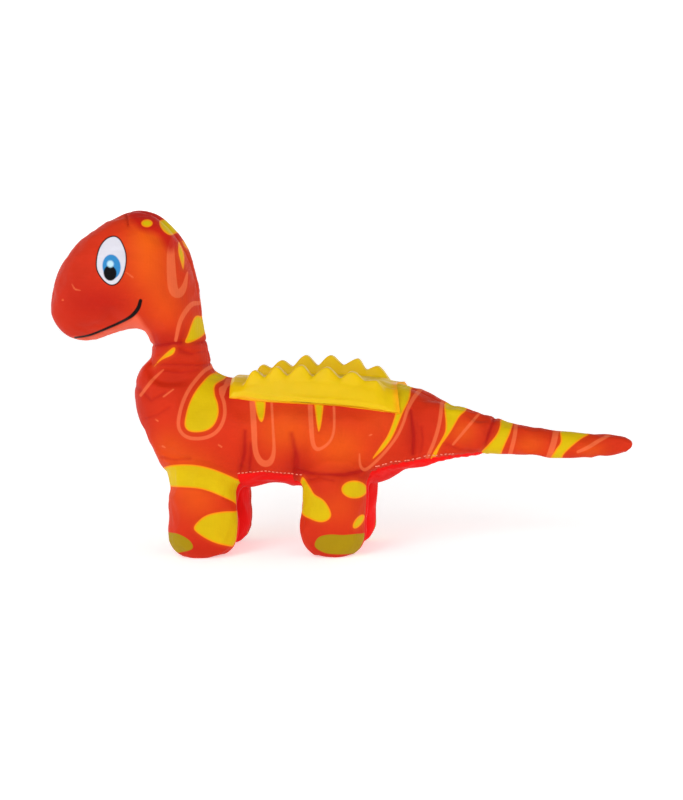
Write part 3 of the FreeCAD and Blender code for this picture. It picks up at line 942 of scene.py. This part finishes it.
# %% The outline of the rubber back
# crest line of each row of spikes, (x, z) points: foot, tip, valley, tip ... foot
CRESTS = {-1: [(-48.5, 95.5), (-42.5, 102.6), (-36.6, 98.8), (-29.8, 104.3), (-24.0, 99.3),
               (-15.8, 104.9), (-10.0, 98.5), (-1.9, 103.5), (5.4, 97.2), (12.0, 100.7),
               (19.0, 95.6), (24.5, 95.8), (30.0, 91.5)],
          1: [(-49.5, 95.5), (-44.2, 101.8), (-39.2, 99.6), (-33.1, 104.0), (-27.0, 100.2),
              (-19.2, 106.6), (-12.6, 100.4), (-5.1, 106.2), (1.8, 100.4), (10.3, 104.0),
              (14.6, 97.5), (21.0, 99.6), (28.0, 92.0)]}
VALLEYS = [
    (-52, 95.2), (-48.5, 95.5), (-36.5, 98.6), (-24.5, 99.2), (-10.5, 98.4), (5, 97.0), (18, 94.6),
    (28, 91.8), (36, 90)]
TIP_ROUNDING = 0.7
ROW_Y, CREST_HALF = 13.0, 1.5
WALL_INNER_Y, WALL_OUTER_Y = 8.0, 21.5  # feet of the wall that carries the spikes
SPIKE_INNER_Y, SPIKE_OUTER_Y = 9.0, 17.5  # feet of the spikes on the wall
WALL_FROM_X, WALL_TO_X, WALL_END = -53.0, 32.0, 7.0  # the wall runs out at both ends
RUBBER_WALL, RUBBER_RIM, RIM_REACH, SUNK = 2.2, 0.7, 2.6, 0.8
FRONT_LEAN, REAR_LEAN = -2.7, -5.0  # how far the ends are curved at the middle of the back
REAR_THINNING = 0.25  # the rubber runs out more slowly at the rear
BODY_MIDDLE_Z = 66.0
RUBBER_STEPS_ALONG, RUBBER_STEPS_ACROSS = 200, 130
EDGE_EVENING, ALONG_EVENING, ACROSS_EVENING = 8, 6, 4  # in steps of the grid
MM_PER_RADIAN = 24  # turns an angle from a side edge into a distance, a little short


def crest_height(x, side):
    """Height of a row's crest: bell shapes between tips and valleys, rounded a little more."""
    xs, zs = (np.array(v, float) for v in zip(*CRESTS[side]))
    offsets = np.linspace(-2, 2, 9) * TIP_ROUNDING
    weights = np.exp(-(offsets / TIP_ROUNDING) ** 2)
    total = 0
    for w, o in zip(weights, offsets):
        i = np.clip(np.searchsorted(xs, x + o) - 1, 0, len(xs) - 2)
        t = np.clip((x + o - xs[i]) / (xs[i + 1] - xs[i]), 0, 1)
        up = np.where(zs[i + 1] > zs[i], t, 1 - t)  # 0 in the valley, 1 at the tip
        up = (smooth_step(up) + np.sin(up * np.pi / 2)) / 2
        low, high = np.minimum(zs[i], zs[i + 1]), np.maximum(zs[i], zs[i + 1])
        total = total + w * (low + up * (high - low))
    return total / weights.sum()


def ramp(y, inner_y, outer_y):
    """1 on the crest of a row, falling to 0 at its inner and outer feet."""
    return np.where(y > ROW_Y, smooth_step((outer_y - y) / (outer_y - ROW_Y - CREST_HALF)),
                    smooth_step((y - inner_y) / (ROW_Y - CREST_HALF - inner_y)))


# %% A grid laid over the fabric
fabric = BVHTree.FromObject(cover, bpy.context.evaluated_depsgraph_get())


def fabric_place(x, angle):
    """The fabric seen from the middle of the body at this angle from straight up."""
    middle = Vector((x, 0.0, BODY_MIDDLE_Z))
    outward = Vector((0.0, math.sin(angle), math.cos(angle)))
    return np.array(fabric.ray_cast(middle * MM, outward)[0]) / MM, np.array(outward)


def edge_angle(x, side):
    """The angle at which the fabric is as high as the rubber's lower edge."""
    low, high = 0.2, 1.5
    for _ in range(12):
        angle = (low + high) / 2
        above = fabric_place(x, side * angle)[0][2] > value_at(RUBBER_EDGE, x)
        low, high = (angle, high) if above else (low, angle)
    return low


def evened(values, reach):
    """Average along the first axis over this many steps to each side, three times."""
    for _ in range(3):
        ends = [values[:1]] * reach + [values] + [values[-1:]] * reach
        padded = np.concatenate(ends)
        values = sum(padded[i:i + len(values)] for i in range(2 * reach + 1)) / (2 * reach + 1)
    return values


bpy.ops.object.select_all(action="DESELECT")
bpy.ops.mesh.primitive_grid_add(x_subdivisions=RUBBER_STEPS_ALONG,
                                y_subdivisions=RUBBER_STEPS_ACROSS, size=1)
back = bpy.context.object
back.name = back.data.name = "rubber_back"
grid = points_of(back) * MM + 0.5  # 0 to 1 along and across
along, column = np.unique(grid[:, 0].round(4), return_inverse=True)
across, line = np.unique(grid[:, 1].round(4), return_inverse=True)
front_x, rear_x = RUBBER_EDGE[0][0], RUBBER_EDGE[-1][0]
left, right = (evened(np.array([edge_angle(x, side) for x in
                                front_x + along * (rear_x - front_x)]), EDGE_EVENING)
               for side in (-1, 1))
angle = -left[:, None] + across * (left + right)[:, None]
middle_share = 1 - np.abs(np.sin(angle)) / np.sin(np.maximum(left, right))[:, None]
x_from, x_to = front_x + FRONT_LEAN * middle_share, rear_x + REAR_LEAN * middle_share
x = x_from + along[:, None] * (x_to - x_from)
direction = np.stack([np.zeros_like(angle), np.sin(angle), np.cos(angle)], axis=2)
middle = np.stack([x, np.zeros_like(x), np.full_like(x, BODY_MIDDLE_Z)], axis=2)
on_fabric = np.array([[fabric_place(x[i, j], angle[i, j])[0] for j in range(len(across))]
                      for i in range(len(along))])
radius = np.linalg.norm(on_fabric - middle, axis=2)
even = evened(evened(radius, ALONG_EVENING).T, ACROSS_EVENING).T
rim = np.minimum.reduce([(angle + left[:, None]) * MM_PER_RADIAN,
                         (right[:, None] - angle) * MM_PER_RADIAN, x - x_from,
                         (x_to - x) * REAR_THINNING])
wall = RUBBER_RIM + (RUBBER_WALL - RUBBER_RIM) * smooth_step(rim / RIM_REACH)
outer = middle + direction * np.maximum(even + wall, radius + RUBBER_RIM / 2)[:, :, None]
inner = middle + direction * (even - SUNK)[:, :, None]
outer, inner, rim = outer[column, line], inner[column, line], rim[column, line]
y, x = np.abs(outer[:, 1]), outer[:, 0]
valley = value_at(VALLEYS, x)
run = smooth_step((x - WALL_FROM_X) / WALL_END) * smooth_step((WALL_TO_X - x) / WALL_END)
for side in (-1, 1):
    lift = run * ramp(y, WALL_INNER_Y, WALL_OUTER_Y) * np.clip(valley - outer[:, 2], 0, None)
    lift += (ramp(y, SPIKE_INNER_Y, SPIKE_OUTER_Y)
             * np.clip(crest_height(x, side) - valley, 0, None))
    outer[:, 2] += np.where(np.sign(outer[:, 1]) == side, lift, 0)
print("rubber from", outer.min(0).round(1), "to", outer.max(0).round(1), "mm")

# %% Give the grid its wall
in_edit_mode(back, select_all, bpy.ops.mesh.extrude_region_move)
is_outer = np.empty(len(back.data.vertices), bool)
back.data.vertices.foreach_get("select", is_outer)
places = points_of(back)
places[is_outer], places[~is_outer] = outer, inner
move_points(back, places)
from_rim = np.zeros(len(places))
from_rim[is_outer] = np.maximum(rim, 0)
keep_numbers(back, "from_rim", from_rim)
in_edit_mode(back, select_all, lambda: bpy.ops.mesh.normals_make_consistent(inside=False))
bpy.ops.object.shade_smooth_by_angle(angle=math.radians(70))
bpy.data.objects.remove(cover)

# %% Rubber
rubber = Paint("yellow_rubber", 0.4)
tint = rubber.mix(rubber.steps(rubber.noise(45, 3), 0.3, 0.7), linear(222, 182, 0),
                  linear(210, 174, 0))
tint = rubber.layers(tint, ("from_rim", 0.9, 0.2, 0.7, linear(236, 150, 8)))
rubber.bumps((rubber.noise(160, 2), 0.25, 0.0004), (rubber.noise(2400, 1), 0.2, 0.00005))
rubber.fill(rubber.surface, {
    "Base Color": tint, "Roughness": rubber.steps(rubber.noise(300, 2), 0.3, 0.7, 0.36, 0.48),
    "Specular IOR Level": 0.14, "Subsurface Weight": 0.08, "Subsurface Scale": 0.002})
back.data.materials.append(rubber.material)
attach(back, "trunk")
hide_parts("back_saddle")
print("rubber back:", len(back.data.polygons), "faces")

# %% [markdown]
# ## The stitches of the belly seam
# Where the belly meets the printed side the seam is sewn from outside, and its short stitches
# show as a pale dotted line. One stitch is modelled, a stubby rounded rod, and copied along
# the seam, each copy lying on the cloth it was sewn through.

# %% One stitch, copied along the seam
STITCH_FROM, STITCH_TO, STITCH_PITCH = -52.5, -18.0, 2.15
STITCH_LENGTH, STITCH_RADIUS, STITCH_REACH = 1.2, 0.3, 0.5
SWING_TURN = 2.4  # radians from one uneven stitch to the next
TAIL_STITCHES_FROM, TAIL_STITCHES_TO = 25.0, 66.0
thread = Paint("seam_thread", 0.5, {"Sheen Weight": 0.2})
twist = thread.threads("X", 900)
thread.fill(thread.surface, {"Base Color": thread.mix(twist, linear(240, 150, 122),
                                                      linear(226, 108, 88))})
thread.bumps((twist, 0.4, 0.0001))


def stitch(place, along):
    bpy.ops.object.select_all(action="DESELECT")
    bpy.ops.mesh.primitive_cylinder_add(vertices=8, radius=STITCH_RADIUS * MM,
                                        depth=STITCH_LENGTH * MM)
    one = bpy.context.object
    bevel = one.modifiers.new("round_ends", "BEVEL")
    bevel.width, bevel.segments = STITCH_RADIUS * 0.7 * MM, 2
    apply_all(one)
    one.matrix_world = (Matrix.Translation(Vector(place) * MM)
                        @ along.to_track_quat("Z", "Y").to_matrix().to_4x4())
    bpy.ops.object.transform_apply()
    bpy.ops.object.shade_smooth()
    return one


def seam_row(cloth_pieces, name, x_from, x_to, half_width, lift, uneven=0.0):
    """Stitches on the cloth nearest to the belly seam; half_width is a line of (x, y) points."""
    made, sign = [], (-1 if name.endswith("left") else 1)
    cloths = [BVHTree.FromObject(c, bpy.context.evaluated_depsgraph_get()) for c in cloth_pieces]
    for i, x in enumerate(np.arange(x_from, x_to, STITCH_PITCH)):
        spots = []
        for way in (-1, 1):
            end_x, swing = x + way * STITCH_REACH, -way * uneven * math.sin(i * SWING_TURN)
            beside = Vector((end_x, sign * value_at(half_width, end_x),
                             gusset_height(end_x) + lift + swing)) * MM
            found = [c.find_nearest(beside) for c in cloths]
            spots.append(min(found, key=lambda f: f[3])[0])
        middle = (spots[0] + spots[1]) / 2 / MM + Vector((0, sign * 0.1, 0))
        made.append(stitch(middle, (spots[1] - spots[0]).normalized()))
    pick(*made)
    bpy.ops.object.join()
    row = bpy.context.object
    row.name = row.data.name = name
    row.data.materials.append(thread.material)
    return row


for side in ("left", "right"):
    row = seam_row([panels["trunk_skin_" + side]], "belly_seam_stitches_" + side, STITCH_FROM,
                   STITCH_TO, [(-52, 21.5), (-20, 21.5)], 0.9)
    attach(row, "trunk")
    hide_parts("belly_stitches_" + side)
    root = seam_row([panels["trunk_skin_" + side], panels["tail_root_skin_" + side]],
                    "tail_seam_stitches_" + side, TAIL_STITCHES_FROM, TAIL_STITCHES_TO,
                    [(23, 26), (40, 20), (66, 13)], 0.2, uneven=0.35)
    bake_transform(root)
    print(side, "stitches:", len(row.data.polygons) + len(root.data.polygons), "faces")

# %% [markdown]
# ## The squeaker inside
# It can't be seen, but its parts keep their exact shapes and get a moulded plastic.

# %% Squeaker plastic
plastic = Paint("milky_plastic", 0.45)
plastic.fill(plastic.surface, {"Base Color": plastic.mix(
    plastic.noise(120), linear(236, 234, 226), linear(222, 220, 210))})
plastic.bumps((plastic.noise(1500), 0.15, 0.0001))
for name in ("squeaker_bulb", "squeaker_base", "squeaker_reed_tube", "squeaker_reed"):
    part = frame["nodes"][name]
    if not part.material_slots:
        part.data.materials.append(None)
    for place in part.material_slots:
        place.material = plastic.material

# %% [markdown]
# ## Stage and light
# The toy stands on a pale floor inside a low ring of white cloth that glows, as in a light
# tent, so the background stays plain from every side. Two large soft lamps give the form.

# %% Stage
FLOOR_SIZE, TENT_RADIUS, TENT_HEIGHT = 8.0, 3.5, 1.6
bpy.ops.object.select_all(action="DESELECT")
bpy.ops.mesh.primitive_plane_add(size=FLOOR_SIZE)
floor = bpy.context.object
floor.name = "floor"
floor.data.materials.append(Paint("floor_paint", 0.9, {
    "Base Color": (0.86, 0.86, 0.86, 1), "Specular IOR Level": 0.0,
    "Emission Color": (1, 1, 1, 1), "Emission Strength": 0.45}).material)
bpy.ops.object.select_all(action="DESELECT")
bpy.ops.mesh.primitive_cylinder_add(vertices=96, radius=TENT_RADIUS, depth=TENT_HEIGHT,
                                    end_fill_type="NOTHING", location=(0, 0, TENT_HEIGHT / 2))
tent = bpy.context.object
tent.name = "light_tent"
tent.data.materials.append(Paint("tent_paint", 0.9, {
    "Emission Color": (1, 1, 1, 1), "Emission Strength": 1.0}).material)
world = bpy.data.worlds.new("studio")
world.use_nodes = True
glow = world.node_tree.nodes["Background"].inputs
glow["Color"].default_value, glow["Strength"].default_value = (1, 1, 1, 1), 0.33
bpy.context.scene.world = world
bpy.context.scene.view_settings.view_transform = "Standard"


def soft_lamp(name, place, size, power):
    data = bpy.data.lights.new(name, "AREA")
    data.size, data.energy = size, power
    lamp = bpy.data.objects.new(name, data)
    bpy.context.collection.objects.link(lamp)
    lamp.location = place
    lamp.rotation_euler = (look_at - Vector(place)).to_track_quat("-Z", "Y").to_euler()


soft_lamp("key", (-0.5, -0.9, 0.9), 0.7, 5.0)
soft_lamp("fill", (0.9, -0.7, 0.5), 0.9, 1.6)

# %% Finish
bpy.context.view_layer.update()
report("finished")
